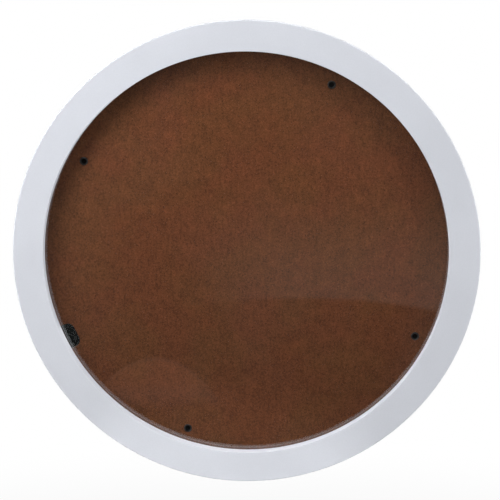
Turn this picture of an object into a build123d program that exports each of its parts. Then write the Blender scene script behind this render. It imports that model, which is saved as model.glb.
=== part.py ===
from build123d import *
import os

# Round photo frame, as it hangs on a wall. The ring's axis is Y and its front faces -Y.
# The origin is on that axis, in the flat back that rests on the wall, and +Z is up.
# A clear sheet lies behind the ring's lip, and a backing board lies behind the sheet.
# Four turn buttons are riveted to the board. They are turned clear of the ring here,
# and a quarter turn takes each tip into the groove that runs round the ring's rabbet.

# Picture, clear sheet and board, all cut to one round format
picture_diameter = 300.0
picture_gap = 0.9
sheet_thickness = 2.0
board_thickness = 3.0
rabbet_clearance = 0.5

# Ring, in front of the picture's rim and round it
lip_overlap = 4.0
lip_thickness = 8.0
face_width = 22.0
front_outer_ease = 1.0
front_sight_ease = 0.4
back_edge_ease = 0.8

# Finger notch in the board's rim
notch_angle = 205.4
notch_width = 18.5
notch_depth = 12.5
notch_corner_radius = 5.5

# Semi-tubular rivets: a crowned head behind the button, a rolled end before the board.
# They are set by hand, so each has its own distance from the board's rim.
rivet_rim_distances = (13.5, 15.3, 12.2, 13.0)
rivet_shank_radius = 2.4
rivet_hole_clearance = 0.05
rivet_head_radius = 4.3
rivet_head_height = 1.2
rivet_head_rim_share = 0.3
rivet_crown_radius_share = 0.55
rivet_hollow_radius = 1.8
rivet_hollow_past_board = 0.6
rolled_end_height = 0.6
rolled_end_width = 1.25
rolled_crest_share = 0.6

# Turn buttons, and the groove in the rabbet that their tips swing into
button_angles = (63.6, 150.1, 251.8, 334.0)
button_thickness = 1.0
button_rim_past_head = 1.2
button_tip_radius = 3.4
button_tip_clearance = 0.6
button_hole_clearance = 0.08
groove_radial_depth = 5.4
groove_width = 2.0
groove_back_clearance = 0.25
groove_flange_thickness = 3.85
rib_width = 3.4
rib_height = 0.5
rib_head_clearance = 0.7
rib_wall_clearance = 1.4
rib_taper = 30.0

# Sawtooth hanger
hanger_length = 43.0
hanger_thickness = 0.8
hanger_rise = 1.3
hanger_foot_length = 8.5
hanger_ramp_length = 2.5
hanger_corner_radius = 2.0
hanger_bend_radius = 0.4
hanger_tooth_count = 9
hanger_tooth_depth = 1.6
hanger_tooth_run_share = 0.9

# Recess that lets the hanger into the ring's back, at the top
recess_top_wall = 4.5
recess_bottom_wall = 2.0
recess_corner_radius = 3.0
hanger_back_gap = 0.3
hanger_side_gap = 1.5
hanger_top_gap = 0.6
hanger_nail_way = 2.4
mouth_end_inset = 1.5

# Nails of the hanger
nail_shank_radius = 0.65
nail_head_radius = 1.7
nail_head_height = 0.7
nail_length = 10.0
nail_point_length = 1.2
nail_point_share = 0.4
nail_hole_clearance = 0.05
nail_pilot_overrun = 0.5

# Every cutter runs past the face that it cuts by this much
overrun = 1.0

# Radii about the ring's axis
board_radius = picture_diameter / 2
sight_radius = board_radius - lip_overlap
ring_outer_radius = sight_radius + face_width
rabbet_radius = board_radius + rabbet_clearance
groove_radius = rabbet_radius + groove_radial_depth
rivet_radii = [board_radius - distance for distance in rivet_rim_distances]
outermost_rivet = max(rivet_radii)

# Depths, from the ring's back plane at zero towards the front, which is minus Y
groove_back = -groove_flange_thickness
groove_front = groove_back - groove_width
button_back = groove_back - groove_back_clearance
board_back = button_back - button_thickness
board_front = board_back - board_thickness
sheet_back = board_front - picture_gap
sheet_front = sheet_back - sheet_thickness
ring_front = sheet_front - lip_thickness

# Turn button, measured from its pivot. All four are alike, and fit the outermost rivet.
button_hole_radius = rivet_shank_radius + button_hole_clearance
button_pivot_end_radius = rivet_head_radius + button_rim_past_head
button_reach = groove_radius - button_tip_clearance - outermost_rivet
rib_start = rivet_head_radius + rib_head_clearance
rib_end = rabbet_radius - rib_wall_clearance - outermost_rivet

# Hanger and its recess, measured up the ring
recess_depth = hanger_thickness + hanger_rise + hanger_back_gap
recess_floor = -recess_depth
recess_width = hanger_length + 2 * hanger_side_gap
recess_top = ring_outer_radius - recess_top_wall
recess_bottom = rabbet_radius + recess_bottom_wall
recess_height = recess_top - recess_bottom
recess_middle = (recess_top + recess_bottom) / 2
hanger_height = recess_height - hanger_top_gap - hanger_nail_way
hanger_bottom = recess_bottom + hanger_nail_way
hanger_middle = hanger_bottom + hanger_height / 2
nail_offset = (hanger_length - hanger_foot_length) / 2
bridge_length = hanger_length - 2 * (hanger_foot_length + hanger_ramp_length)
recess_mouth_width = bridge_length - 2 * mouth_end_inset


def facing(depth):
    """Plane across the ring's axis at a depth, seen from the front; it extrudes forwards."""
    return Plane.XZ.offset(-depth)


def turned(points):
    """Solid turned about the Y axis from an outline of radii and depths."""
    outline = make_face(Polyline(*points, close=True))
    return revolve(Plane.XY * outline, axis=Axis.Y)


def rod(radius, back, length):
    """Cylinder along Y that runs forwards from its back end."""
    return extrude(facing(back) * Circle(radius), amount=length)


def around(angle, radius):
    """Place on a circle about the ring's axis, with local X pointing outwards."""
    return Rot(0, -angle, 0) * Pos(radius, 0, 0)


def circles_of(solid, depth, radius):
    """Round edges about the ring's axis at one depth and radius."""
    return [
        edge for edge in solid.edges().filter_by(GeomType.CIRCLE)
        if abs(edge.radius - radius) < overrun / 100
        and abs(edge.arc_center.Y - depth) < overrun / 100
    ]


def hanger_recess():
    """Routed pocket for the hanger, with a mouth that lets a nail head in from the rabbet."""
    outline = RectangleRounded(recess_width, recess_height, recess_corner_radius)
    pocket = facing(overrun) * Pos(0, recess_middle) * outline
    mouth_low = rabbet_radius - recess_height
    mouth = facing(overrun) * Pos(0, (recess_middle + mouth_low) / 2) * Rectangle(
        recess_mouth_width, recess_middle - mouth_low
    )
    return extrude(pocket + mouth, amount=overrun + recess_depth)


def nail_pilot(side):
    """Hole in the ring for one of the hanger's nails."""
    radius = nail_shank_radius + nail_hole_clearance
    hole = rod(radius, 0, recess_depth + nail_length + nail_pilot_overrun)
    return Pos(side * nail_offset, 0, hanger_middle) * hole


def frame_ring():
    """Ring with its lip, rabbet and button groove, in one turned outline."""
    ring = turned([
        (sight_radius, ring_front),
        (ring_outer_radius, ring_front),
        (ring_outer_radius, 0),
        (rabbet_radius, 0),
        (rabbet_radius, groove_back),
        (groove_radius, groove_back),
        (groove_radius, groove_front),
        (rabbet_radius, groove_front),
        (rabbet_radius, sheet_front),
        (sight_radius, sheet_front),
    ])
    ring = chamfer(circles_of(ring, ring_front, ring_outer_radius), front_outer_ease)
    ring = chamfer(circles_of(ring, ring_front, sight_radius), front_sight_ease)
    ring = chamfer(circles_of(ring, 0, ring_outer_radius), back_edge_ease)
    ring -= hanger_recess()
    for side in (-1, 1):
        ring -= nail_pilot(side)
    return ring


def glazing():
    """Clear round sheet lying on the lip."""
    return rod(board_radius, sheet_back, sheet_thickness)


def finger_notch():
    """Cutter for the notch that a fingertip lifts the board by."""
    inner = board_radius - notch_depth
    length = notch_depth + overrun + notch_corner_radius
    outline = RectangleRounded(length, notch_width, notch_corner_radius)
    cutter = extrude(
        facing(board_back + overrun) * Pos(inner + length / 2, 0) * outline,
        amount=board_thickness + 2 * overrun,
    )
    return Rot(0, -notch_angle, 0) * cutter


def backing_board():
    """Hardboard disc with its rivet holes and finger notch."""
    board = rod(board_radius, board_back, board_thickness)
    hole_radius = rivet_shank_radius + rivet_hole_clearance
    for angle, radius in zip(button_angles, rivet_radii):
        hole = rod(hole_radius, board_back + overrun, board_thickness + 2 * overrun)
        board -= around(angle, radius) * hole
    return board - finger_notch()


def rib_outline(inset):
    """Long round-ended outline of the button's pressed rib, drawn in by an inset."""
    width = rib_width - 2 * inset
    middle = (rib_start + rib_end) / 2
    return Pos(middle, 0) * SlotOverall(rib_end - rib_start - 2 * inset, width)


def turn_button_at_pivot():
    """Stamped teardrop plate pointing along X, with a pressed rib, round its own pivot."""
    tip = Pos(button_reach - button_tip_radius, 0) * Circle(button_tip_radius)
    outline = make_hull(Circle(button_pivot_end_radius).edges() + tip.edges())
    plate = extrude(facing(button_back) * outline, amount=button_thickness)
    rib = extrude(facing(button_back) * rib_outline(0), amount=-rib_height, taper=rib_taper)
    dent = extrude(
        facing(board_back) * rib_outline(rib_height), amount=-rib_height, taper=rib_taper
    )
    hole = rod(button_hole_radius, button_back + overrun, button_thickness + 2 * overrun)
    return plate + rib - dent - hole


def turn_button(angle, radius):
    """Turn button on its pivot, lying along the board's rim, clear of the ring."""
    along_rim = Rot(0, -90, 0)
    return around(angle, radius) * along_rim * turn_button_at_pivot()


def rivet_at_pivot():
    """Semi-tubular rivet along Y: low crowned head at the back, rolled end at the front."""
    hollow_bottom = board_back + rivet_hollow_past_board
    roll_outer = rivet_hollow_radius + rolled_end_width
    roll_slope = rolled_end_width * (1 - rolled_crest_share)
    roll_crest = board_front - rolled_end_height
    return turned([
        (0, button_back + rivet_head_height),
        (rivet_head_radius * rivet_crown_radius_share, button_back + rivet_head_height),
        (rivet_head_radius, button_back + rivet_head_height * rivet_head_rim_share),
        (rivet_head_radius, button_back),
        (rivet_shank_radius, button_back),
        (rivet_shank_radius, board_front),
        (roll_outer, board_front),
        (roll_outer - roll_slope, roll_crest),
        (rivet_hollow_radius, roll_crest),
        (rivet_hollow_radius, hollow_bottom),
        (0, hollow_bottom),
    ])


def rivet(angle, radius):
    """Rivet in its place round the board."""
    return around(angle, radius) * rivet_at_pivot()


def hanger_strip():
    """Hanger's bent strip: two feet on the recess floor and a raised bridge between them."""
    ends = hanger_length / 2
    foot = ends - hanger_foot_length
    bridge = bridge_length / 2
    low = recess_floor
    high = recess_floor + hanger_rise
    right_half = [(bridge, high), (foot, low), (ends, low)]
    left_half = [(-x, y) for x, y in reversed(right_half)]
    under = left_half + right_half
    over = [(x, y + hanger_thickness) for x, y in reversed(under)]
    outline = make_face(Polyline(*(under + over), close=True))
    strip = extrude(Plane.XY.offset(hanger_bottom) * outline, amount=hanger_height)
    bends = [
        edge for edge in strip.edges().filter_by(Axis.Z)
        if abs(edge.center().X) < ends - overrun / 10
    ]
    return fillet(bends, hanger_bend_radius)


def hanger_teeth():
    """Cutter for the row of teeth along the bridge's lower edge."""
    pitch = bridge_length / hanger_tooth_count
    half_run = pitch * hanger_tooth_run_share / 2
    notch = make_face(Polyline(
        (-half_run, hanger_bottom - overrun),
        (-half_run, hanger_bottom),
        (0, hanger_bottom + hanger_tooth_depth),
        (half_run, hanger_bottom),
        (half_run, hanger_bottom - overrun),
        close=True,
    ))
    first = -(hanger_tooth_count - 1) / 2
    notches = Sketch() + [
        Pos((first + index) * pitch, 0) * notch for index in range(hanger_tooth_count)
    ]
    return extrude(facing(overrun) * notches, amount=overrun + recess_depth)


def sawtooth_hanger():
    """Stamped sawtooth hanger with rounded ends and two nail holes."""
    blank = extrude(
        facing(0) * Pos(0, hanger_middle)
        * RectangleRounded(hanger_length, hanger_height, hanger_corner_radius),
        amount=recess_depth,
    )
    hanger = hanger_strip() & blank
    hanger -= hanger_teeth()
    hole_radius = nail_shank_radius + nail_hole_clearance
    for side in (-1, 1):
        hole = rod(hole_radius, overrun, recess_depth + 2 * overrun)
        hanger -= Pos(side * nail_offset, 0, hanger_middle) * hole
    return hanger


def hanger_nail(side):
    """Nail with a flat round head and a tapered point, through one foot of the hanger."""
    seat = recess_floor + hanger_thickness
    point = seat - nail_length
    shoulder = point + nail_point_length
    nail = turned([
        (0, seat + nail_head_height),
        (nail_head_radius, seat + nail_head_height),
        (nail_head_radius, seat),
        (nail_shank_radius, seat),
        (nail_shank_radius, shoulder),
        (nail_shank_radius * nail_point_share, point),
        (0, point),
    ])
    return Pos(side * nail_offset, 0, hanger_middle) * nail


def write(name, shape):
    """One STEP file for each separate piece."""
    shape.label = name
    export_step(shape, f"parts/{name}.step")


os.makedirs("parts", exist_ok=True)
write("frame_ring", frame_ring())
write("glazing", glazing())
write("backing_board", backing_board())
for index, (angle, radius) in enumerate(zip(button_angles, rivet_radii), start=1):
    write(f"turn_button_{index}", turn_button(angle, radius))
    write(f"rivet_{index}", rivet(angle, radius))
write("sawtooth_hanger", sawtooth_hanger())
for index, side in enumerate((-1, 1), start=1):
    write(f"hanger_nail_{index}", hanger_nail(side))
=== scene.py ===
"""Round photo frame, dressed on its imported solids.

A white painted ring holds a clear sheet and a hardboard back. Four riveted turn buttons
hold the back in, and a sawtooth hanger is nailed into a recess at the top. All sizes are
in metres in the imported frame: the ring's axis is Y, its front faces -Y and +Z is up.
"""

import logging
import math
from dataclasses import dataclass
from enum import Enum
from functools import partial, reduce
from typing import Callable, Optional, Sequence, Union

import bmesh
import bpy
from mathutils import Matrix, Vector

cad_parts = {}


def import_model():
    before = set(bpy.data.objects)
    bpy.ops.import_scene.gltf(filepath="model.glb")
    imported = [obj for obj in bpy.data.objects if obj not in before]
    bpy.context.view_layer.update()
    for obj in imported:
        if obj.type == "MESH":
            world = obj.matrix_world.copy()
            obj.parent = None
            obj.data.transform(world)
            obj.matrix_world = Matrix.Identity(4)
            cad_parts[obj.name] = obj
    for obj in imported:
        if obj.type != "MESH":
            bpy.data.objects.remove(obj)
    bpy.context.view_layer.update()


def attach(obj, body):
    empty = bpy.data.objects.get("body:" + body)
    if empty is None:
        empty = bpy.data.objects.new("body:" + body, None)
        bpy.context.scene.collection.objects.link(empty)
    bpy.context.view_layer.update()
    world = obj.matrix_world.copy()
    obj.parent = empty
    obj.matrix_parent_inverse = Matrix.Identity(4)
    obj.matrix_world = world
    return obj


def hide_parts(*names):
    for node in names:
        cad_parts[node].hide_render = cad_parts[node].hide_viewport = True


log = logging.getLogger("round_photo_frame")

MM = 0.001
ORIGIN = Vector((0.0, 0.0, 0.0))
AXIS = Vector((0.0, 1.0, 0.0))
SIDEWAYS = Vector((0.0, 0.0, 1.0))
# Turns what is made along Z to lie along the ring's axis
ALONG_AXIS = Matrix.Rotation(math.radians(90), 4, "X")
# Distance below which two points are one, and turn above which an edge is eased
SAME_POINT = 1e-7
SHARP = math.radians(50)
Colour = Point = tuple[float, float, float]
Node = bpy.types.Node
Socket = bpy.types.NodeSocket
Value = Union[float, Sequence[float], Socket]
Piece = bpy.types.Object
Material = bpy.types.Material
Mesh = bmesh.types.BMesh
Edge = bmesh.types.BMEdge

WHITE: Colour = (1.0, 1.0, 1.0)
# Span that holds nearly all of a noise, and length of one band of a wave of scale 1
NOISE_SPAN = (0.3, 0.7)
WAVE_LENGTH = 0.314

# Angle about the axis in degrees and distance from it, rivet by rivet
RIVET_SPOTS: tuple[tuple[float, float], ...] = (
    (63.6, 136.5 * MM), (150.1, 134.7 * MM), (251.8, 137.8 * MM), (334.0, 137.0 * MM),
)


class Body(Enum):
    """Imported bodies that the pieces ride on."""

    FRAME = "frame"
    PANEL = "back_panel"
    BUTTON = "button_"


class Slot(Enum):
    """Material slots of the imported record."""

    PAINT = "ring_paint"
    SHEET = "clear_sheet"
    BOARD = "hardboard"
    BUTTON = "button_steel"
    RIVET = "rivet_steel"
    HANGER = "hanger_steel"
    NAIL = "nail_steel"


class Graph:
    """Nodes of one material or world, with its patterns measured in millimetres."""

    # Sockets of a Mix node by data type: two that go in and one that comes out
    MIX_SOCKETS = {"RGBA": (6, 7, 2), "VECTOR": (4, 5, 1)}

    def __init__(self, name: str, kind: str = "Material") -> None:
        """Starts an empty material of that name, or a world if the kind is World."""
        library = bpy.data.worlds if kind == "World" else bpy.data.materials
        self.owner = library.new(name)
        self.owner.use_nodes = True
        self.tree = self.owner.node_tree
        self.tree.nodes.clear()
        self.output = self.node("Output" + kind)
        self.coords = self.node("TexCoord")
        self.point = self.mapped(self.coords.outputs["Object"], (1000.0,) * 3)

    def node(self, kind: str, *values: Value, **settings: object) -> Node:
        """Adds a node, sets its options and fills its sockets.

        Args:
            kind: Node type without its ShaderNode prefix.
            values: Values of its first sockets, in order.
            settings: Options in lower case, and sockets by their own names, which start with
                a capital, with underscores for the spaces.

        Returns:
            The new node.
        """
        made = self.tree.nodes.new("ShaderNode" + kind)
        for name, value in settings.items():
            if name.islower():
                setattr(made, name, value)
            else:
                self.put(made.inputs[name.replace("_", " ")], value)
        for socket, value in zip(made.inputs, values):
            self.put(socket, value)
        return made

    def put(self, socket: Socket, value: Value) -> None:
        """Links a socket to another, or sets it to a plain value."""
        if isinstance(value, Socket):
            self.tree.links.new(value, socket)
        elif socket.type == "RGBA" and not isinstance(value, (int, float)):
            socket.default_value = (*value[:3], 1.0)
        else:
            socket.default_value = value

    def mapped(self, vector: Value, scale: Sequence[float], turn: float = 0.0) -> Socket:
        """Scales a pattern along each axis and turns it about the ring's axis.

        Args:
            vector: Coordinates to map.
            scale: Factor along X, Y and Z.
            turn: Angle about Y in degrees.

        Returns:
            The mapped coordinates.
        """
        rotation = (0.0, math.radians(turn), 0.0)
        place = self.node("Mapping", Vector=vector, Scale=scale, Rotation=rotation)
        return place.outputs["Vector"]

    def maths(self, kind: str, first: Value, second: Value = 0.0) -> Socket:
        """One Math node of that operation on one or two values."""
        return self.node("Math", first, second, operation=kind).outputs[0]

    def product(self, *factors: Value) -> Socket:
        """Several values multiplied together."""
        return reduce(partial(self.maths, "MULTIPLY"), factors)

    def total(self, *terms: Value) -> Socket:
        """Several values added up."""
        return reduce(partial(self.maths, "ADD"), terms)

    def noise(
        self, scale: float, detail: float = 3.0, rough: float = 0.55,
        vector: Optional[Value] = None, warp: float = 0.0,
    ) -> Socket:
        """Noise of a scale per millimetre, as a factor near one half."""
        return self.node(
            "TexNoise", Vector=self.point if vector is None else vector, Scale=scale,
            Detail=detail, Roughness=rough, Distortion=warp,
        ).outputs[0]

    def cells(self, scale: float) -> Node:
        """Voronoi cells of a scale per millimetre."""
        return self.node("TexVoronoi", Vector=self.point, Scale=scale)

    def flecks(
        self, scale: float, size: Sequence[float], share: Sequence[float], channel: str = "X"
    ) -> Socket:
        """Round dots in some of the cells of a scale per millimetre.

        Args:
            scale: Cells per millimetre.
            size: Distances from a cell's middle at which its dot starts and is full.
            share: Random values from which on a cell has a dot, and a full one.
            channel: Part of the cell's random colour that is taken as its value.

        Returns:
            1 in the dots and 0 between them.
        """
        cells = self.cells(scale)
        chance = self.part(cells.outputs["Color"], channel)
        return self.product(self.band(cells.outputs["Distance"], *size), self.band(chance, *share))

    def band(
        self, value: Value, start: float, end: float, low: float = 0.0, high: float = 1.0
    ) -> Socket:
        """Smooth step of a value from start to end, mapped to low and high."""
        return self.node(
            "MapRange", interpolation_type="SMOOTHSTEP", Value=value, From_Min=start,
            From_Max=end, To_Min=low, To_Max=high,
        ).outputs[0]

    def spread(self, pattern: Value, low: float, high: float) -> Socket:
        """A noise spread out between two levels."""
        return self.band(pattern, *NOISE_SPAN, low, high)

    def blend(
        self, factor: Value, first: Value, second: Value, data: str = "RGBA", how: str = "MIX"
    ) -> Socket:
        """Colour or vector between two, by a factor."""
        into_first, into_second, out = self.MIX_SOCKETS[data]
        mix = self.node("Mix", factor, data_type=data, blend_type=how)
        self.put(mix.inputs[into_first], first)
        self.put(mix.inputs[into_second], second)
        return mix.outputs[out]

    def tinted(self, colour: Value, factor: Value) -> Socket:
        """A colour multiplied by a grey value."""
        return self.blend(1.0, colour, factor, how="MULTIPLY")

    def length(self, vector: Value) -> Socket:
        """Length of a vector."""
        return self.node("VectorMath", vector, operation="LENGTH").outputs["Value"]

    def radius(self) -> Socket:
        """Distance from the ring's axis in millimetres."""
        flat = self.node("VectorMath", self.point, (1.0, 0.0, 1.0), operation="MULTIPLY")
        return self.length(flat.outputs["Vector"])

    def part(self, vector: Value, axis: str) -> Socket:
        """One part of a vector."""
        return self.node("SeparateXYZ", vector).outputs[axis]

    def depth(self) -> Socket:
        """Distance behind the ring's back plane in millimetres, negative in front."""
        return self.part(self.point, "Y")

    def bump(
        self, height: Value, rise: float, strength: float, below: Optional[Value] = None
    ) -> Socket:
        """Bumped normal.

        Args:
            height: Height pattern from 0 to 1.
            rise: What a height of 1 stands for, in metres.
            strength: Share of the bump that shows.
            below: Normal that it goes on top of.

        Returns:
            The new normal.
        """
        made = self.node("Bump", Height=height, Distance=rise, Strength=strength)
        if below is not None:
            self.put(made.inputs["Normal"], below)
        return made.outputs["Normal"]

    def seen(self) -> Socket:
        """1 for rays from the camera, off a mirror or through glass, and 0 for the rest."""
        path = self.node("LightPath")
        rays = [path.outputs[f"Is {kind} Ray"] for kind in ("Camera", "Glossy", "Transmission")]
        return reduce(partial(self.maths, "MAXIMUM"), rays)

    def layered(self, factor: Value, below: Node, above: Node) -> Node:
        """Shader between two, by a factor."""
        return self.node("MixShader", factor, below.outputs[0], above.outputs[0])

    def ended(self, shader: Node) -> bpy.types.ID:
        """Ends the graph in a shader and gives back the material or world."""
        self.put(self.output.inputs["Surface"], shader.outputs[0])
        return self.owner

    def surface(self, **inputs: Value) -> bpy.types.ID:
        """Ends the graph in one Principled shader, with its sockets named as for node."""
        return self.ended(self.node("BsdfPrincipled", **inputs))


@dataclass(frozen=True)
class SatinPaint:
    """Sprayed satin paint on sanded fibreboard, with fine peel and rubbed arrises."""

    colour: Colour = (0.735, 0.755, 0.815)
    rubbed: Colour = (0.56, 0.56, 0.58)
    rough: float = 0.42
    peel: float = 0.012 * MM
    outer_radius: float = 168.0
    front: float = -19.0

    def material(self) -> Material:
        """The paint's material."""
        g = Graph("satin_white_paint")
        clouds = g.band(g.noise(0.018, 3.0, 0.5), 0.35, 0.65, 0.975, 1.01)
        mist = g.spread(g.noise(0.9, 2.0, 0.6), 0.985, 1.01)
        coat = g.tinted(self.colour, g.product(clouds, mist))
        front = g.band(g.depth(), self.front + 1.3, self.front + 0.2)
        outer = g.band(g.radius(), self.outer_radius - 0.9, self.outer_radius - 0.3)
        chafe = g.band(g.noise(0.35, 5.0, 0.65), 0.46, 0.62)
        worn = g.product(front, outer, chafe, 0.5)
        normal = g.bump(g.noise(1.1, 2.0, 0.5), self.peel, 0.9)
        normal = g.bump(g.noise(6.0, 2.0, 0.6), self.peel * 0.35, 0.5, normal)
        rough = g.spread(g.noise(0.05, 4.0, 0.6), self.rough - 0.05, self.rough + 0.06)
        return g.surface(
            Base_Color=g.blend(worn, coat, self.rubbed), Roughness=rough, Normal=normal,
            Specular_IOR_Level=0.45,
        )


@dataclass(frozen=True)
class RawFibreboard:
    """Routed fibreboard left bare, with a ragged edge of overspray from the sides."""

    colour: Colour = (0.36, 0.235, 0.135)
    dark: Colour = (0.20, 0.115, 0.06)
    overspray: Colour = (0.66, 0.67, 0.70)
    outer_radius: float = 168.0

    def material(self) -> Material:
        """The bare fibreboard's material."""
        g = Graph("raw_fibreboard")
        fibres = g.noise(2.2, 6.0, 0.7, warp=0.6)
        clumps = g.noise(0.25, 4.0, 0.6)
        tone = g.total(g.product(fibres, 0.65), g.product(clumps, 0.35))
        bare = g.blend(g.band(tone, 0.36, 0.62), self.dark, self.colour)
        dots = g.flecks(0.8, (0.22, 0.1), (0.78, 0.86))
        bare = g.blend(g.product(dots, 0.6), bare, self.dark)
        edge = g.product(g.noise(0.5, 5.0, 0.7), 3.2)
        reach = g.total(g.radius(), edge)
        sprayed = g.band(reach, self.outer_radius - 0.6, self.outer_radius + 0.6)
        normal = g.bump(fibres, 0.08 * MM, 0.8)
        normal = g.bump(g.noise(9.0, 2.0, 0.7), 0.02 * MM, 0.6, normal)
        return g.surface(
            Base_Color=g.blend(sprayed, bare, self.overspray),
            Roughness=g.band(sprayed, 0.0, 1.0, 0.86, 0.6), Normal=normal, Specular_IOR_Level=0.3,
        )


@dataclass(frozen=True)
class Hardboard:
    """Pressed brown hardboard: smooth speckled face, mesh-marked back, fuzzy edge."""

    red: Colour = (0.238, 0.0747, 0.0282)
    olive: Colour = (0.229, 0.0798, 0.0278)
    fleck: Colour = (0.300, 0.135, 0.070)
    speck: Colour = (0.046, 0.0145, 0.0070)
    back: Colour = (0.215, 0.118, 0.064)
    rim: Colour = (0.060, 0.030, 0.018)
    back_plane: float = -5.1
    mesh_pitch: float = 1.7
    lip_shadow_strength: float = 0.32
    lint_share: float = 0.42

    def face(self, g: Graph) -> tuple[Socket, Socket]:
        """Colour and height of the smooth face.

        The face is a little darker low down, as painted shade, and darkest round its upper rim, as
        a painted shadow of the lip.
        """
        height = g.part(g.point, "Z")
        # Painted shadow of the lip: darker near the board's rim, most at the top
        painted_lip_shadow = g.product(
            g.band(g.radius(), 118.0, 147.0), g.band(height, -100.0, 100.0), self.lip_shadow_strength
        )
        mottle = g.noise(0.022, 3.0, 0.55)
        colour = g.blend(g.band(mottle, 0.38, 0.62), self.red, self.olive)
        clouds = g.noise(0.11, 4.0, 0.6)
        streak = g.noise(0.5, 3.0, 0.6, g.mapped(g.point, (1.0, 1.0, 0.16)))
        felt = g.noise(1.05, 5.0, 0.8, warp=0.5)
        threads = g.noise(1.1, 3.0, 0.65, g.mapped(g.point, (1.0, 1.0, 0.30), 24.0))
        cross = g.noise(1.1, 3.0, 0.65, g.mapped(g.point, (0.3, 1.0, 1.0), -17.0))
        tone = g.product(
            g.spread(clouds, 0.90, 1.10), g.spread(streak, 0.92, 1.08),
            # Painted shade: the face darkens towards the bottom, where less light falls
            g.spread(felt, 0.54, 1.48), g.band(height, -150.0, 110.0, 0.84, 1.09),
            g.maths("SUBTRACT", 1.0, painted_lip_shadow),
        )
        colour = g.tinted(colour, tone)
        lint = g.maths("MAXIMUM", g.band(threads, 0.60, 0.74), g.band(cross, 0.61, 0.75))
        colour = g.blend(g.product(lint, self.lint_share), colour, self.fleck)
        grit = g.flecks(0.42, (0.26, 0.10), (0.62, 0.72))
        dots = g.product(grit, g.band(g.noise(1.9, 2.0, 0.5), 0.42, 0.55))
        pins = g.flecks(1.1, (0.30, 0.12), (0.74, 0.80), "Y")
        dark = g.maths("MAXIMUM", g.product(dots, 0.75), g.product(pins, 0.5))
        colour = g.blend(dark, colour, self.speck)
        relief = g.maths("SUBTRACT", g.product(felt, 0.8), g.product(dark, 0.5))
        return colour, relief

    def reverse(self, g: Graph) -> tuple[Socket, Socket]:
        """Colour and height of the back, marked by the mesh that it was pressed on."""
        waves = []
        for turn in (0.0, 90.0):
            wave = g.node(
                "TexWave", wave_type="BANDS", bands_direction="X",
                Vector=g.mapped(g.point, (1.0,) * 3, turn), Scale=WAVE_LENGTH / self.mesh_pitch,
                Distortion=1.1, Detail=2.0, Detail_Scale=1.5,
            )
            waves.append(wave.outputs[1])
        weave = g.product(*waves)
        fuzz = g.noise(1.3, 5.0, 0.7, warp=0.4)
        tone = g.product(
            g.band(weave, 0.0, 0.8, 0.78, 1.12), g.spread(fuzz, 0.75, 1.22),
            g.band(g.noise(0.05, 3.0, 0.5), 0.35, 0.65, 0.93, 1.06),
        )
        height = g.total(weave, g.product(fuzz, 0.5))
        return g.tinted(self.back, tone), height

    def material(self) -> Material:
        """The board's material, with each side chosen by the board's own depth."""
        g = Graph("brown_hardboard")
        face, face_height = self.face(g)
        back, back_height = self.reverse(g)
        behind = g.band(g.depth(), self.back_plane - 0.12, self.back_plane - 0.02)
        side = g.band(g.maths("ABSOLUTE", g.part(g.coords.outputs["Normal"], "Y")), 0.75, 0.35)
        layers = g.noise(0.9, 4.0, 0.7, g.mapped(g.point, (1.0, 4.0, 1.0)))
        rim = g.tinted(self.rim, g.spread(layers, 0.6, 1.3))
        colour = g.blend(side, g.blend(behind, face, back), rim)
        plain = g.bump(face_height, 0.05 * MM, 0.55)
        rugged = g.bump(back_height, 0.22 * MM, 0.8)
        normal = g.blend(behind, plain, rugged, "VECTOR")
        return g.surface(
            Base_Color=colour, Roughness=g.band(behind, 0.0, 1.0, 0.62, 0.85),
            Normal=normal, Specular_IOR_Level=0.3,
        )


@dataclass(frozen=True)
class ClearSheet:
    """Clear flat sheet: each of its two faces mirrors a little and passes the rest."""

    bend: float = 1.85
    tint: Colour = (0.972, 0.982, 0.975)
    rim: Colour = (0.42, 0.66, 0.58)
    dust: float = 0.0015
    motes: float = 0.03
    dust_colour: Colour = (0.75, 0.74, 0.72)
    blur: float = 0.015

    def material(self) -> Material:
        """Material of the two faces."""
        g = Graph("clear_sheet_face")
        leaving = g.node("NewGeometry").outputs["Backfacing"]
        ratio = g.product(leaving, 1.0 / self.bend - self.bend)
        mirrored = g.node("Fresnel", IOR=g.total(ratio, self.bend)).outputs[0]
        clear = g.node("BsdfTransparent", Color=self.tint)
        mirror = g.node("BsdfAnisotropic", Color=WHITE, Roughness=self.blur)
        face = g.layered(mirrored, clear, mirror)
        motes = g.band(g.cells(0.13).outputs["Distance"], 0.045, 0.02)
        wiped = g.band(g.noise(0.03, 4.0, 0.65, warp=1.5), 0.45, 0.75, 0.1, 1.0)
        film = g.total(g.product(wiped, self.dust), g.product(motes, self.motes))
        bloom = g.node("BsdfDiffuse", Color=self.dust_colour)
        return g.ended(g.layered(film, face, bloom))

    def edge(self) -> Material:
        """Material of the seamed rim, where the sheet's own colour shows."""
        g = Graph("clear_sheet_rim")
        ground = g.noise(1.4, 3.0, 0.6)
        return g.surface(
            Base_Color=g.tinted(self.rim, g.spread(ground, 0.85, 1.1)),
            Roughness=g.spread(ground, 0.18, 0.4), Normal=g.bump(ground, 0.01 * MM, 0.5),
        )


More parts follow.
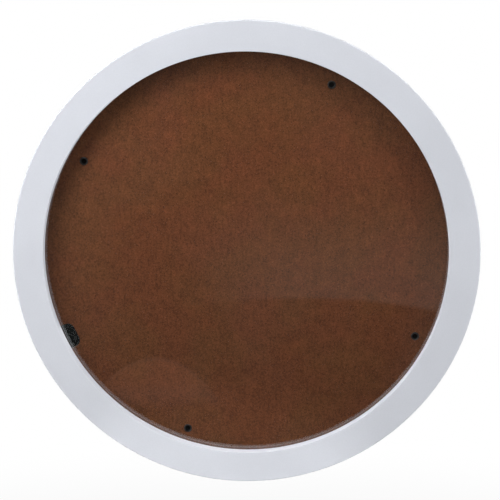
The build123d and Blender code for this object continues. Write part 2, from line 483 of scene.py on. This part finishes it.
@dataclass(frozen=True)
class PlatedSteel:
    """Small steel part with a plated or blackened coat, rubbed bright where it turns."""

    name: str
    colour: Colour
    bare: Colour
    rough: float
    spangle: float
    wear: float

    def material(self) -> Material:
        """The plated steel's material."""
        g = Graph(self.name)
        patches = g.cells(self.spangle)
        shade = g.band(g.part(patches.outputs["Color"], "X"), 0.0, 1.0, 0.86, 1.08)
        haze = g.spread(g.noise(0.4, 4.0, 0.6), 0.86, 1.08)
        coat = g.tinted(self.colour, g.product(shade, haze))
        scuff = g.noise(1.6, 4.0, 0.65, g.mapped(g.point, (1.0, 1.0, 0.22), 35.0))
        rubbed = g.band(scuff, 0.62, 0.76, 0.0, self.wear)
        normal = g.bump(g.noise(3.2, 3.0, 0.6), 0.02 * MM, 0.5)
        normal = g.bump(scuff, 0.012 * MM, 0.5, normal)
        rough = g.total(g.spread(g.noise(0.9, 4.0, 0.6), -0.06, 0.1), self.rough)
        return g.surface(
            Base_Color=g.blend(rubbed, coat, self.bare), Metallic=1.0, Roughness=rough,
            Normal=normal,
        )


@dataclass(frozen=True)
class SootyHollow:
    """Unplated inside of a rivet's hollow, dull and near black."""

    colour: Colour = (0.016, 0.015, 0.014)

    def material(self) -> Material:
        """The hollow's material."""
        g = Graph("sooty_hollow")
        soot = g.noise(2.4, 4.0, 0.65)
        return g.surface(
            Base_Color=g.tinted(self.colour, g.spread(soot, 0.6, 1.5)),
            Roughness=g.spread(soot, 0.75, 0.95),
            Normal=g.bump(soot, 0.03 * MM, 0.6), Specular_IOR_Level=0.1,
        )


class SteelCoat(Enum):
    """Coats of the small steel parts."""

    ZINC = PlatedSteel("zinc_plated_steel", (0.60, 0.60, 0.58), (0.74, 0.74, 0.73), 0.34, 0.9, 0.7)
    BLACKENED = PlatedSteel(
        "blackened_steel", (0.135, 0.135, 0.14), (0.42, 0.42, 0.43), 0.36, 1.6, 0.35
    )
    BRIGHT = PlatedSteel(
        "bright_wire_steel", (0.52, 0.52, 0.53), (0.66, 0.66, 0.66), 0.28, 1.2, 0.5
    )


class Outline:
    """Chain of edges drawn from point to point in the XY plane, or in a plane across Y."""

    def __init__(self, bm: Mesh, start: Sequence[float], depth: Optional[float] = None) -> None:
        """Starts the chain at a point, across Y at a depth if there is one."""
        self.bm, self.depth = bm, depth
        self.first = self.tip = bm.verts.new(self.place(start))

    def place(self, point: Sequence[float]) -> Vector:
        """Where a point of the plane lies."""
        across, up = point
        return Vector((across, up, 0.0) if self.depth is None else (across, self.depth, up))

    def line(self, *points: Sequence[float]) -> "Outline":
        """Adds straight edges through more points."""
        for point in points:
            corner = self.bm.verts.new(self.place(point))
            self.bm.edges.new((self.tip, corner))
            self.tip = corner
        return self

    def arc(self, centre: Sequence[float], degrees: float, steps: int) -> None:
        """Swings the tip round a centre.

        Args:
            centre: Centre of the arc.
            degrees: Angle that it turns, by the right hand rule about Z or Y.
            steps: Number of edges.
        """
        swung = bmesh.ops.spin(
            self.bm, geom=[self.tip], cent=self.place(centre), dvec=ORIGIN,
            axis=SIDEWAYS if self.depth is None else AXIS,
            angle=math.radians(degrees), steps=steps,
        )
        self.tip = next(v for v in swung["geom_last"] if isinstance(v, bmesh.types.BMVert))

    def close(self) -> None:
        """Joins the tip to the start."""
        self.bm.edges.new((self.tip, self.first))


def turn_round(bm: Mesh, steps: int) -> None:
    """Turns every edge of a mesh once round the Y axis and closes seam and poles."""
    bmesh.ops.spin(
        bm, geom=bm.verts[:] + bm.edges[:], cent=ORIGIN, axis=AXIS, dvec=ORIGIN,
        angle=math.tau, steps=steps, use_merge=True,
    )
    bmesh.ops.remove_doubles(bm, verts=bm.verts, dist=SAME_POINT)
    bmesh.ops.dissolve_degenerate(bm, dist=SAME_POINT, edges=bm.edges)
    bmesh.ops.recalc_face_normals(bm, faces=bm.faces)


def ease(bm: Mesh, offset: float, segments: int, chosen: Callable[[Edge], bool]) -> None:
    """Rounds the sharp edges that a test chooses.

    Args:
        bm: Mesh to work on.
        offset: Distance from the edge to where the rounding starts.
        segments: Steps across the rounding.
        chosen: Test that an edge passes if it is to be rounded.
    """
    sharp = [
        edge for edge in bm.edges
        if edge.is_manifold and edge.calc_face_angle(0.0) > SHARP and chosen(edge)
    ]
    bmesh.ops.bevel(
        bm, geom=sharp, offset=offset, offset_type="OFFSET", segments=segments,
        profile=0.5, affect="EDGES", clamp_overlap=True, material=-1,
    )


def new_piece(name: str, bm: Mesh) -> Piece:
    """Makes an object of a mesh at the origin and puts it in the scene."""
    mesh = bpy.data.meshes.new(name)
    bm.to_mesh(mesh)
    bm.free()
    piece = bpy.data.objects.new(name, mesh)
    bpy.context.scene.collection.objects.link(piece)
    return piece


def carve(piece: Piece, cutters: Sequence[Piece]) -> None:
    """Cuts closed cutters out of a piece, then removes them."""
    for cutter in cutters:
        cut = piece.modifiers.new("cut", "BOOLEAN")
        cut.operation = "DIFFERENCE"
        cut.solver = "EXACT"
        cut.object = cutter
    bpy.context.view_layer.update()
    graph = bpy.context.evaluated_depsgraph_get()
    carved = bpy.data.meshes.new_from_object(piece.evaluated_get(graph))
    piece.modifiers.clear()
    blank, piece.data = piece.data, carved
    carved.name = piece.name
    bpy.data.meshes.remove(blank)
    for cutter in cutters:
        bpy.data.meshes.remove(cutter.data)


def rod(radius: float, back: float, front: float, place: Matrix) -> Piece:
    """Round cutter along Y between two depths."""
    bm = bmesh.new()
    middle = Matrix.Translation((0.0, (back + front) / 2, 0.0))
    bmesh.ops.create_cone(
        bm, cap_ends=True, segments=48, radius1=radius, radius2=radius,
        depth=abs(back - front), matrix=place @ middle @ ALONG_AXIS,
    )
    return new_piece("cutter", bm)


def block(low: Vector, high: Vector, corner: float, place: Matrix) -> Piece:
    """Cutter block between two corners, with its edges along Y rounded."""
    bm = bmesh.new()
    size = high - low
    bmesh.ops.create_cube(bm, size=1.0)
    bmesh.ops.scale(bm, vec=size, verts=bm.verts)
    bmesh.ops.translate(bm, vec=(low + high) / 2, verts=bm.verts)
    if corner:
        ease(
            bm, corner, 8,
            lambda e: abs((e.verts[0].co - e.verts[1].co).normalized().dot(AXIS)) > 0.9,
        )
    bmesh.ops.transform(bm, matrix=place, verts=bm.verts)
    return new_piece("cutter", bm)


def circle(
    bm: Mesh, radius: float, centre: Sequence[float], steps: int, filled: bool = False,
) -> None:
    """Draws a circle about an axis along Y."""
    bmesh.ops.create_circle(
        bm, cap_ends=filled, segments=steps, radius=radius,
        matrix=Matrix.Translation(centre) @ ALONG_AXIS,
    )


def thicken(bm: Mesh, thickness: float) -> None:
    """Turns a sheet's surface to face backwards and gives it its thickness, forwards."""
    bmesh.ops.recalc_face_normals(bm, faces=bm.faces)
    if sum(face.normal.y for face in bm.faces) < 0:
        bmesh.ops.reverse_faces(bm, faces=bm.faces)
    bmesh.ops.solidify(bm, geom=bm.faces[:], thickness=thickness)
    bmesh.ops.recalc_face_normals(bm, faces=bm.faces)


def dress(
    piece: Piece, body: str, replaced: str, materials: Sequence[Material],
    turn: float = 32.0,
) -> None:
    """Shades a piece, gives it its materials and fixes it to its body.

    Args:
        piece: The finished piece.
        body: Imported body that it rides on.
        replaced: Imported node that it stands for.
        materials: Materials in the order of its faces' indices.
        turn: Angle in degrees above which an edge stays sharp.
    """
    for material in materials:
        piece.data.materials.append(material)
    piece.data.shade_smooth()
    piece.data.set_sharp_from_angle(angle=math.radians(turn))
    even = piece.modifiers.new("even_flats", "WEIGHTED_NORMAL")
    even.keep_sharp = True
    even.weight = 80
    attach(piece, body)
    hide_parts(replaced)
    log.info("%s: %d faces, on %s", piece.name, len(piece.data.polygons), body)


def round_rim(
    radius: float, low: float = -math.inf, high: float = math.inf
) -> Callable[[Edge], bool]:
    """Test for edges that run round the ring's axis at one radius, between two depths."""
    return lambda edge: low < edge.verts[0].co.y < high and all(
        abs(math.hypot(v.co.x, v.co.z) - radius) < 0.02 * MM for v in edge.verts
    )


@dataclass
class PaintedRing:
    """Ring with its lip, rabbet, button groove and hanger recess."""

    outer: float = 168.0 * MM
    sight: float = 146.0 * MM
    rabbet: float = 150.5 * MM
    groove: float = 155.9 * MM
    front: float = -19.0 * MM
    lip_back: float = -11.0 * MM
    groove_front: float = -5.85 * MM
    groove_back: float = -3.85 * MM
    recess_floor: float = -2.4 * MM
    recess_low: float = 152.5 * MM
    recess_high: float = 163.5 * MM
    recess_half: float = 23.0 * MM
    recess_corner: float = 3.0 * MM
    mouth_low: float = 140.0 * MM
    mouth_high: float = 158.0 * MM
    mouth_half: float = 9.0 * MM
    nail_hole: float = 0.7 * MM
    nail_side: float = 17.25 * MM
    nail_height: float = 158.9 * MM
    nail_end: float = -12.9 * MM
    steps: int = 288

    def blank(self) -> Mesh:
        """The turned ring with its arrises eased."""
        bm = bmesh.new()
        Outline(bm, (self.sight, self.front)).line(
            (self.outer, self.front), (self.outer, 0.0), (self.rabbet, 0.0),
            (self.rabbet, self.groove_back), (self.groove, self.groove_back),
            (self.groove, self.groove_front), (self.rabbet, self.groove_front),
            (self.rabbet, self.lip_back), (self.sight, self.lip_back),
        ).close()
        turn_round(bm, self.steps)
        ease(bm, 1.0 * MM, 5, round_rim(self.outer, high=-MM))
        ease(bm, 0.8 * MM, 4, round_rim(self.outer, low=-MM))
        ease(bm, 0.45 * MM, 4, round_rim(self.sight, high=-15 * MM))
        ease(bm, 0.12 * MM, 2, round_rim(self.rabbet))
        return bm

    def cutters(self) -> list[Piece]:
        """Recess, its mouth and the nail holes."""
        still = Matrix.Identity(4)
        pocket = block(
            Vector((-self.recess_half, self.recess_floor, self.recess_low)),
            Vector((self.recess_half, MM, self.recess_high)), self.recess_corner, still,
        )
        mouth = block(
            Vector((-self.mouth_half, self.recess_floor, self.mouth_low)),
            Vector((self.mouth_half, 1.1 * MM, self.mouth_high)), 0.0, still,
        )
        holes = [
            rod(
                self.nail_hole, MM, self.nail_end,
                Matrix.Translation((side * self.nail_side, 0.0, self.nail_height)),
            )
            for side in (-1, 1)
        ]
        return [pocket, mouth, *holes]

    def paint_faces(self, piece: Piece) -> None:
        """Gives the faces out of the spray's reach the second material."""
        for face in piece.data.polygons:
            centre = face.center
            radius = math.hypot(centre.x, centre.z)
            inside = radius > self.sight + 0.6 * MM and centre.y > self.lip_back - MM
            face.material_index = int(inside and radius < self.outer - 0.81 * MM)

    def build(self) -> None:
        """Builds and dresses the ring."""
        ring = new_piece("painted_ring", self.blank())
        carve(ring, self.cutters())
        self.paint_faces(ring)
        finishes = [SatinPaint().material(), RawFibreboard().material()]
        dress(ring, Body.FRAME.value, "frame_ring", finishes)


@dataclass
class FlatRound:
    """A flat round piece that lies in the rabbet."""

    radius: float
    front: float
    back: float
    arris: float
    steps: int = 288

    def disc(self) -> Mesh:
        """The disc with its two arrises eased."""
        bm = bmesh.new()
        circle(bm, self.radius, (0.0, self.back, 0.0), self.steps, filled=True)
        grown = bmesh.ops.extrude_face_region(bm, geom=bm.faces[:])
        moved = [v for v in grown["geom"] if isinstance(v, bmesh.types.BMVert)]
        bmesh.ops.translate(bm, vec=(0.0, self.front - self.back, 0.0), verts=moved)
        bmesh.ops.recalc_face_normals(bm, faces=bm.faces)
        ease(bm, self.arris, 2, round_rim(self.radius))
        return bm


@dataclass
class SheetOnLip(FlatRound):
    """Clear sheet that lies on the lip."""

    radius: float = 150.0 * MM
    front: float = -11.0 * MM
    back: float = -9.0 * MM
    arris: float = 0.2 * MM

    def build(self) -> None:
        """Builds and dresses the sheet."""
        sheet = new_piece("clear_sheet", self.disc())
        for face in sheet.data.polygons:
            face.material_index = int(abs(face.normal.y) < 0.9)
        finish = ClearSheet()
        dress(
            sheet, Body.FRAME.value, "glazing",
            [finish.material(), finish.edge()], 20.0,
        )


@dataclass
class NotchedBoard(FlatRound):
    """Hardboard back with its rivet holes and finger notch."""

    radius: float = 150.0 * MM
    front: float = -8.1 * MM
    back: float = -5.1 * MM
    arris: float = 0.15 * MM
    hole: float = 2.45 * MM
    notch_angle: float = 205.4
    notch_width: float = 18.5 * MM
    notch_depth: float = 12.5 * MM
    notch_corner: float = 5.5 * MM

    def cutters(self) -> list[Piece]:
        """Notch and rivet holes."""
        half = self.notch_width / 2
        inner = self.radius - self.notch_depth
        notch = block(
            Vector((inner, self.front - MM, -half)),
            Vector((inner + 2 * self.notch_depth, self.back + MM, half)),
            self.notch_corner, spot_on_ring(self.notch_angle, 0.0),
        )
        holes = [
            rod(self.hole, self.back + MM, self.front - MM, spot_on_ring(*spot))
            for spot in RIVET_SPOTS
        ]
        return [notch, *holes]

    def build(self) -> None:
        """Builds and dresses the board."""
        board = new_piece("hardboard_back", self.disc())
        carve(board, self.cutters())
        dress(board, Body.PANEL.value, "backing_board", [Hardboard().material()])


def spot_on_ring(angle: float, radius: float) -> Matrix:
    """Place on a circle about the ring's axis, with local X pointing outwards."""
    turn = Matrix.Rotation(math.radians(-angle), 4, "Y")
    return turn @ Matrix.Translation((radius, 0.0, 0.0))


@dataclass
class TurnButtonClosure:
    """Four semi-tubular rivets and the stamped turn buttons that swing on them."""

    board_front: float = -8.1 * MM
    board_back: float = -5.1 * MM
    button_back: float = -4.1 * MM
    shank: float = 2.4 * MM
    head: float = 4.3 * MM
    head_height: float = 1.2 * MM
    dome: float = 10.9 * MM
    head_edge: float = 0.12 * MM
    chamfer: float = 0.06 * MM
    hollow: float = 1.8 * MM
    roll: float = 0.6 * MM
    hollow_end: float = -4.5 * MM
    pivot_end: float = 5.5 * MM
    tip_end: float = 3.4 * MM
    reach: float = 17.5 * MM
    hole: float = 2.48 * MM
    rib_start: float = 5.0 * MM
    rib_end: float = 11.3 * MM
    rib_half: float = 1.7 * MM
    rib_height: float = 0.5 * MM
    rib_slope: float = 0.75 * MM
    rim_easing: float = 0.16 * MM

    def rivet_mesh(self) -> Mesh:
        """Rivet at its own pivot: domed head at the back, rolled end at the front."""
        bm = bmesh.new()
        top = self.button_back + self.head_height
        spread = math.degrees(math.asin((self.head - self.head_edge) / self.dome))
        pen = Outline(bm, (0.0, top))
        pen.arc((0.0, top - self.dome), -spread, 8)
        shoulder = pen.tip.co.y
        pen.line(
            (self.head, shoulder - self.head_edge),
            (self.head, self.button_back + self.chamfer),
            (self.head - self.chamfer, self.button_back),
            (self.shank, self.button_back), (self.shank, self.board_front),
            (self.hollow + 2 * self.roll, self.board_front),
        )
        pen.arc((self.hollow + self.roll, self.board_front), -180.0, 10)
        pen.line(
            (self.hollow, self.hollow_end - 0.6 * MM),
            (self.hollow - 0.5 * MM, self.hollow_end), (0.0, self.hollow_end),
        )
        turn_round(bm, 56)
        return bm

    def rib_loop(self, bm: Mesh, inset: float, rise: float) -> list[Edge]:
        """Long round-ended loop of the rib.

        Args:
            bm: Mesh that it is drawn in.
            inset: Distance inside the rib's own outline.
            rise: Height above the plate.

        Returns:
            The loop's edges.
        """
        before = set(bm.edges)
        half = self.rib_half - inset
        near, far = self.rib_start + self.rib_half, self.rib_end - self.rib_half
        pen = Outline(bm, (far, -half), self.button_back + rise)
        pen.arc((far, 0.0), -180.0, 10)
        pen.line((near, half))
        pen.arc((near, 0.0), -180.0, 10)
        pen.close()
        return [edge for edge in bm.edges if edge not in before]

    def button_mesh(self) -> Mesh:
        """Button at its own pivot, pointing along X: teardrop plate with a pressed rib."""
        bm = bmesh.new()
        distance = self.reach - self.tip_end
        lean = math.degrees(math.acos((self.pivot_end - self.tip_end) / distance))
        touch = Matrix.Rotation(math.radians(-lean), 4, "Y")
        start = touch @ Vector((self.pivot_end, 0.0, 0.0))
        end = touch @ Vector((self.tip_end, 0.0, 0.0))
        pen = Outline(bm, (start.x, start.z), self.button_back)
        pen.arc((0.0, 0.0), -(360.0 - 2 * lean), 40)
        pen.line((distance + end.x, -end.z))
        pen.arc((distance, 0.0), -2 * lean, 20)
        pen.close()
        circle(bm, self.hole, (0.0, self.button_back, 0.0), 48)
        loops = [self.rib_loop(bm, 0.0, 0.0)]
        bmesh.ops.triangle_fill(bm, edges=bm.edges[:], use_beauty=True, use_dissolve=False)
        rises = (0.06, 0.2, 0.5, 0.8, 0.94, 1.0)
        for index, share in enumerate(rises, start=1):
            inset = self.rib_slope * index / len(rises)
            loops.append(self.rib_loop(bm, inset, self.rib_height * share))
            bmesh.ops.bridge_loops(bm, edges=loops[-2] + loops[-1])
        bmesh.ops.contextual_create(bm, geom=loops[-1])
        return bm

    def blacken(self, rivet: Piece, pivot: Vector) -> None:
        """Gives the faces down in a rivet's hollow the second material."""
        for face in rivet.data.polygons:
            away = face.center - pivot
            inside = math.hypot(away.x, away.z) < self.hollow + 0.02 * MM
            face.material_index = int(inside and face.center.y < self.hollow_end + 0.1 * MM)

    def build(self) -> None:
        """Builds and dresses the rivets and the buttons."""
        blackened, zinc = SteelCoat.BLACKENED.value, SteelCoat.ZINC.value
        rivet_steel, button_steel = blackened.material(), zinc.material()
        hollow = SootyHollow().material()
        for number, spot in enumerate(RIVET_SPOTS, start=1):
            place = spot_on_ring(*spot)
            bm = self.rivet_mesh()
            bmesh.ops.transform(bm, matrix=place, verts=bm.verts)
            rivet = new_piece(f"tubular_rivet_{number}", bm)
            self.blacken(rivet, place.translation)
            dress(rivet, Body.PANEL.value, f"rivet_{number}", [rivet_steel, hollow])
            bm = self.button_mesh()
            thicken(bm, self.button_back - self.board_back)
            ease(bm, self.rim_easing, 2, lambda e: True)
            along_rim = Matrix.Rotation(math.radians(-90), 4, "Y")
            bmesh.ops.transform(bm, matrix=place @ along_rim, verts=bm.verts)
            button = new_piece(f"stamped_button_{number}", bm)
            dress(
                button, f"{Body.BUTTON.value}{number}",
                f"turn_button_{number}", [button_steel],
            )


@dataclass
class HangingSet:
    """Sawtooth hanger and the two nails that hold it in the ring's recess."""

    half_length: float = 21.5 * MM
    low: float = 154.9 * MM
    high: float = 162.9 * MM
    floor: float = -2.4 * MM
    thickness: float = 0.8 * MM
    rise: float = 1.3 * MM
    foot: float = 8.5 * MM
    ramp: float = 2.5 * MM
    run_on: float = 0.3 * MM
    bend_cuts: int = 8
    corner: float = 2.0 * MM
    teeth: int = 9
    tooth_depth: float = 1.6 * MM
    tooth_share: float = 0.9
    nail_side: float = 17.25 * MM
    nail_hole: float = 0.7 * MM
    shank: float = 0.65 * MM
    head: float = 1.7 * MM
    head_height: float = 0.7 * MM
    nail_length: float = 10.0 * MM
    point: float = 1.2 * MM

    def blank(self) -> Mesh:
        """Flat outline of the strip with its teeth and nail holes, filled."""
        bm = bmesh.new()
        bridge = self.half_length - self.foot - self.ramp
        pitch = 2 * bridge / self.teeth
        run = pitch * self.tooth_share / 2
        end, c = self.half_length, self.corner
        pen = Outline(bm, (-end + c, self.low), 0.0)
        for index in range(self.teeth):
            x = (index - (self.teeth - 1) / 2) * pitch
            pen.line((x - run, self.low), (x, self.low + self.tooth_depth), (x + run, self.low))
        pen.line((end - c, self.low))
        pen.arc((end - c, self.low + c), -90.0, 8)
        pen.line((end, self.high - c))
        pen.arc((end - c, self.high - c), -90.0, 8)
        pen.line((-end + c, self.high))
        pen.arc((-end + c, self.high - c), -90.0, 8)
        pen.line((-end, self.low + c))
        pen.arc((-end + c, self.low + c), -90.0, 7)
        pen.close()
        middle = (self.low + self.high) / 2
        for side in (-1, 1):
            circle(bm, self.nail_hole, (side * self.nail_side, 0.0, middle), 28)
        bmesh.ops.triangle_fill(bm, edges=bm.edges[:], use_beauty=True)
        return bm

    def bend(self, bm: Mesh) -> None:
        """Raises the bridge between the two feet with smooth bends, then thickens it."""
        start = self.half_length - self.foot + self.run_on
        span = self.ramp + 2 * self.run_on
        for side in (-1, 1):
            for step in range(self.bend_cuts + 1):
                x = side * (start - span + span * step / self.bend_cuts)
                bmesh.ops.bisect_plane(
                    bm, geom=bm.verts[:] + bm.edges[:] + bm.faces[:], dist=SAME_POINT,
                    plane_co=(x, 0.0, 0.0), plane_no=(1.0, 0.0, 0.0),
                )
        for vert in bm.verts:
            share = min(1.0, max(0.0, (start - abs(vert.co.x)) / span))
            eased = share * share * (3 - 2 * share)
            vert.co.y = self.floor + self.thickness + self.rise * eased
        thicken(bm, self.thickness)
        ease(bm, 0.1 * MM, 2, lambda e: abs(e.verts[0].co.y - e.verts[1].co.y) < 0.5 * MM)

    def nail_mesh(self) -> Mesh:
        """Nail along Y at its own place, with a slightly domed head."""
        bm = bmesh.new()
        seat = self.floor + self.thickness
        top = seat + self.head_height
        tip = seat - self.nail_length
        Outline(bm, (0.0, top)).line(
            (self.head * 0.45, top - 0.02 * MM), (self.head * 0.8, top - 0.1 * MM),
            (self.head * 0.95, top - 0.22 * MM), (self.head, top - 0.4 * MM),
            (self.head * 0.97, seat), (self.shank, seat),
            (self.shank, tip + self.point), (self.shank * 0.4, tip), (0.0, tip),
        )
        turn_round(bm, 32)
        return bm

    def build(self) -> None:
        """Builds and dresses the hanger and its nails."""
        bm = self.blank()
        self.bend(bm)
        hanger = new_piece("toothed_hanger", bm)
        dress(
            hanger, Body.FRAME.value, "sawtooth_hanger",
            [SteelCoat.ZINC.value.material()],
        )
        steel = SteelCoat.BRIGHT.value.material()
        for number, side in enumerate((-1, 1), start=1):
            bm = self.nail_mesh()
            middle = (self.low + self.high) / 2
            bmesh.ops.translate(bm, vec=(side * self.nail_side, 0.0, middle), verts=bm.verts)
            nail = new_piece(f"wire_nail_{number}", bm)
            dress(nail, Body.FRAME.value, f"hanger_nail_{number}", [steel])


def stand(name: str, data: bpy.types.ID, place: Sequence[float], way: Vector) -> Piece:
    """Puts a lamp or camera in the scene.

    Args:
        name: Name of the object.
        data: The lamp or camera.
        place: Where it stands.
        way: Direction that it looks in.

    Returns:
        The new object.
    """
    holder = bpy.data.objects.new(name, data)
    holder.location = place
    holder.rotation_euler = way.to_track_quat("-Z", "Y").to_euler()
    bpy.context.scene.collection.objects.link(holder)
    return holder


def hide_from(piece: Piece, *rays: str) -> None:
    """Hides a stand-in of the scene from some kinds of rays."""
    for kind in rays:
        setattr(piece, f"visible_{kind}", False)


@dataclass(frozen=True)
class Lamp:
    """Round studio lamp aimed at the frame, or a soft spot if it has a cone."""

    name: str
    place: Point
    size: float
    power: float
    target: Point = (0.0, 0.0, 0.0)
    cone: float = 0.0
    soft_edge: float = 0.12

    def build(self) -> None:
        """Puts the lamp in the scene."""
        lamp = bpy.data.lights.new(self.name, "SPOT" if self.cone else "AREA")
        lamp.energy = self.power
        if self.cone:
            lamp.spot_size = math.radians(self.cone)
            lamp.spot_blend = self.soft_edge
            lamp.shadow_soft_size = self.size
        else:
            lamp.shape = "DISK"
            lamp.size = self.size
        stand(self.name, lamp, self.place, Vector(self.target) - Vector(self.place))


@dataclass(frozen=True)
class PaleFloor:
    """Pale floor below the hanging frame. It keeps the shadow near the frame."""

    level: float = -0.62
    half: float = 9.0
    tone: Colour = (0.8, 0.8, 0.8)

    def material(self) -> Material:
        """Matt near the frame and plain white to look at far from it."""
        g = Graph("pale_floor")
        matt = g.node("BsdfDiffuse", Color=self.tone)
        bright = g.node("Emission", Color=WHITE)
        far = g.band(g.length(g.point), 900.0, 1700.0, 0.72, 1.0)
        return g.ended(g.layered(g.product(g.seen(), far), matt, bright))

    def build(self) -> None:
        """Lays the floor."""
        bm = bmesh.new()
        bmesh.ops.create_grid(bm, x_segments=1, y_segments=1, size=self.half)
        bmesh.ops.translate(bm, vec=(0.0, 0.0, self.level), verts=bm.verts)
        floor = new_piece("pale_floor", bm)
        floor.data.materials.append(self.material())


@dataclass(frozen=True)
class ShadeBehind:
    """Painted shade behind the board: a near-black glowing disc that stands in for the shaded
    space behind the frame's back.

    It shows only from the front, through the finger notch, and gives no light or shadow.
    """

    radius: float = 0.152
    depth: float = 0.3 * MM
    # Colour of the painted shade
    tone: Colour = (0.0050, 0.0058, 0.0058)

    def material(self) -> Material:
        """Painted shade: near black and glowing from the front, and nothing from behind."""
        g = Graph("shade_behind_board")
        patches = g.spread(g.noise(0.12, 2.0), 0.7, 1.2)
        # Painted shade: a near-black glow stands in for the shaded space behind the board
        dark = g.node("Emission", Color=g.tinted(self.tone, patches))
        behind = g.node("NewGeometry").outputs["Backfacing"]
        return g.ended(g.layered(behind, dark, g.node("BsdfTransparent")))

    def build(self) -> None:
        """Hangs the disc, with its face to the front."""
        bm = bmesh.new()
        circle(bm, self.radius, (0.0, self.depth, 0.0), 96, filled=True)
        for face in bm.faces:
            if face.normal.y > 0:
                face.normal_flip()
        shade = new_piece("shade_behind_board", bm)
        shade.data.materials.append(self.material())
        hide_from(shade, "diffuse", "glossy", "transmission", "shadow")


@dataclass(frozen=True)
class DimCurtain:
    """Dim dome in front of the frame, which only rays mirrored by the sheet meet.

    It glows with a wide pale zone above an arched line, a small warm mound below and left of it,
    and faint folds. The sheet mirrors the zone and the mound over the board as painted light.
    The lines' crests, heights and bows are in millimetres.
    """

    radius: float = 0.9
    cut: float = -0.1
    zone_line: Point = (60.0, -210.0, 0.0004)
    zone_level: float = 0.085
    zone_tone: Colour = (1.0, 0.95, 0.93)
    mound_line: Point = (-147.0, -281.0, 0.0075)
    mound_level: float = 0.15
    mound_tone: Colour = (1.0, 0.45, 0.27)

    def above(self, g: Graph, crest: float, height: float, bow: float) -> Socket:
        """Height above an arched line.

        Args:
            g: Graph of the curtain.
            crest: Where the line stands highest, along X.
            height: How high it stands there.
            bow: How fast it falls off to either side.

        Returns:
            The height, negative below the line.
        """
        off = g.maths("ABSOLUTE", g.maths("SUBTRACT", g.part(g.point, "X"), crest))
        fall = g.product(g.maths("POWER", off, 2.0), bow)
        return g.total(g.part(g.point, "Z"), -height, fall)

    def material(self) -> Material:
        """The curtain's glow."""
        g = Graph("dim_curtain")
        across, up = g.part(g.point, "X"), g.part(g.point, "Z")
        zone = g.product(
            g.band(self.above(g, *self.zone_line), 0.0, 7.0),
            g.band(up, -50.0, -190.0), g.band(across, -130.0, 90.0),
        )
        mound = g.product(
            g.band(self.above(g, *self.mound_line), 4.0, -4.0), g.band(up, -345.0, -306.0)
        )
        folds = g.band(g.noise(0.0045, 3.0, 0.5, warp=0.4), 0.42, 0.6, 0.0, 0.02)
        level = g.total(
            g.product(zone, self.zone_level), g.product(mound, self.mound_level), folds
        )
        # Painted light: the warm mound's mirror image lightens the board below and left
        tint = g.blend(mound, self.zone_tone, self.mound_tone)
        return g.ended(g.node("Emission", Color=g.tinted(tint, level)))

    def build(self) -> None:
        """Hangs the curtain."""
        bm = bmesh.new()
        bmesh.ops.create_uvsphere(bm, u_segments=48, v_segments=24, radius=self.radius)
        bmesh.ops.bisect_plane(
            bm, geom=bm.verts[:] + bm.edges[:] + bm.faces[:], dist=SAME_POINT,
            plane_co=(0.0, self.cut, 0.0), plane_no=AXIS, clear_outer=True,
        )
        curtain = new_piece("dim_curtain", bm)
        curtain.data.materials.append(self.material())
        hide_from(curtain, "camera", "diffuse", "transmission", "shadow")


@dataclass
class Studio:
    """Camera, lamps, surroundings and stand-ins round the frame."""

    azimuth: float = 1.95
    elevation: float = 9.93
    distance: float = 1.1057
    front: float = -19.0 * MM
    lens: float = 110.97
    sensor: float = 36.0
    shift: tuple[float, float] = (0.00888, 0.01328)
    ambient: float = 0.06
    back_light: float = 0.75
    fittings: tuple = (
        PaleFloor(),
        ShadeBehind(),
        DimCurtain(),
        Lamp("top_softbox", (0.00, -0.44, 1.33), 0.7, 5.6),
        Lamp("right_top_softbox", (0.94, -0.44, 0.94), 0.7, 5.1),
        Lamp("left_top_softbox", (-0.48, -0.46, 0.56), 0.45, 3.3),
        Lamp("left_softbox", (-1.21, -0.70, 0.00), 0.7, 4.3),
        Lamp("right_softbox", (1.33, -0.40, 0.10), 0.6, 5.0),
        Lamp("low_left_softbox", (-1.00, -0.085, 0.50), 0.15, 4.4),
        Lamp("low_right_softbox", (1.02, -0.085, 0.25), 0.15, 1.8),
        Lamp("rim_spot", (-0.05, -1.05, 0.25), 0.02, 8.0, (-0.02, 0.0, -0.290), 17.5),
    )

    def camera(self) -> None:
        """Sets the camera as it stood before the real frame."""
        turn, tilt = math.radians(self.azimuth), math.radians(self.elevation)
        away = Vector(
            (math.sin(turn) * math.cos(tilt), -math.cos(turn) * math.cos(tilt), math.sin(tilt))
        )
        data = bpy.data.cameras.new("camera")
        data.lens = self.lens
        data.sensor_width = self.sensor
        data.shift_x, data.shift_y = self.shift
        data.clip_start = 0.01
        data.clip_end = 100.0
        place = Vector((0.0, self.front, 0.0)) + away * self.distance
        bpy.context.scene.camera = stand("camera", data, place, -away)

    def world(self) -> None:
        """Surroundings: white to look at, and a light that is dim in front and full behind."""
        g = Graph("plain_studio", "World")
        behind = g.part(g.coords.outputs["Generated"], "Y")
        strength = g.band(behind, 0.02, 0.45, self.ambient, self.back_light)
        light = g.node("Background", Color=WHITE, Strength=strength)
        white = g.node("Background", Color=WHITE, Strength=1.0)
        bpy.context.scene.world = g.ended(g.layered(g.seen(), light, white))

    def build(self) -> None:
        """Builds the studio."""
        self.camera()
        self.world()
        for fitting in self.fittings:
            fitting.build()
        bpy.context.scene.view_settings.view_transform = "Standard"


def main() -> None:
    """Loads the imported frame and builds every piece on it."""
    logging.basicConfig(level=logging.INFO, format="%(message)s")
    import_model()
    for assembly in (
        PaintedRing(), SheetOnLip(), NotchedBoard(), TurnButtonClosure(), HangingSet(), Studio()
    ):
        log.info("building %s", type(assembly).__name__)
        assembly.build()


if __name__ == "__main__":
    main()
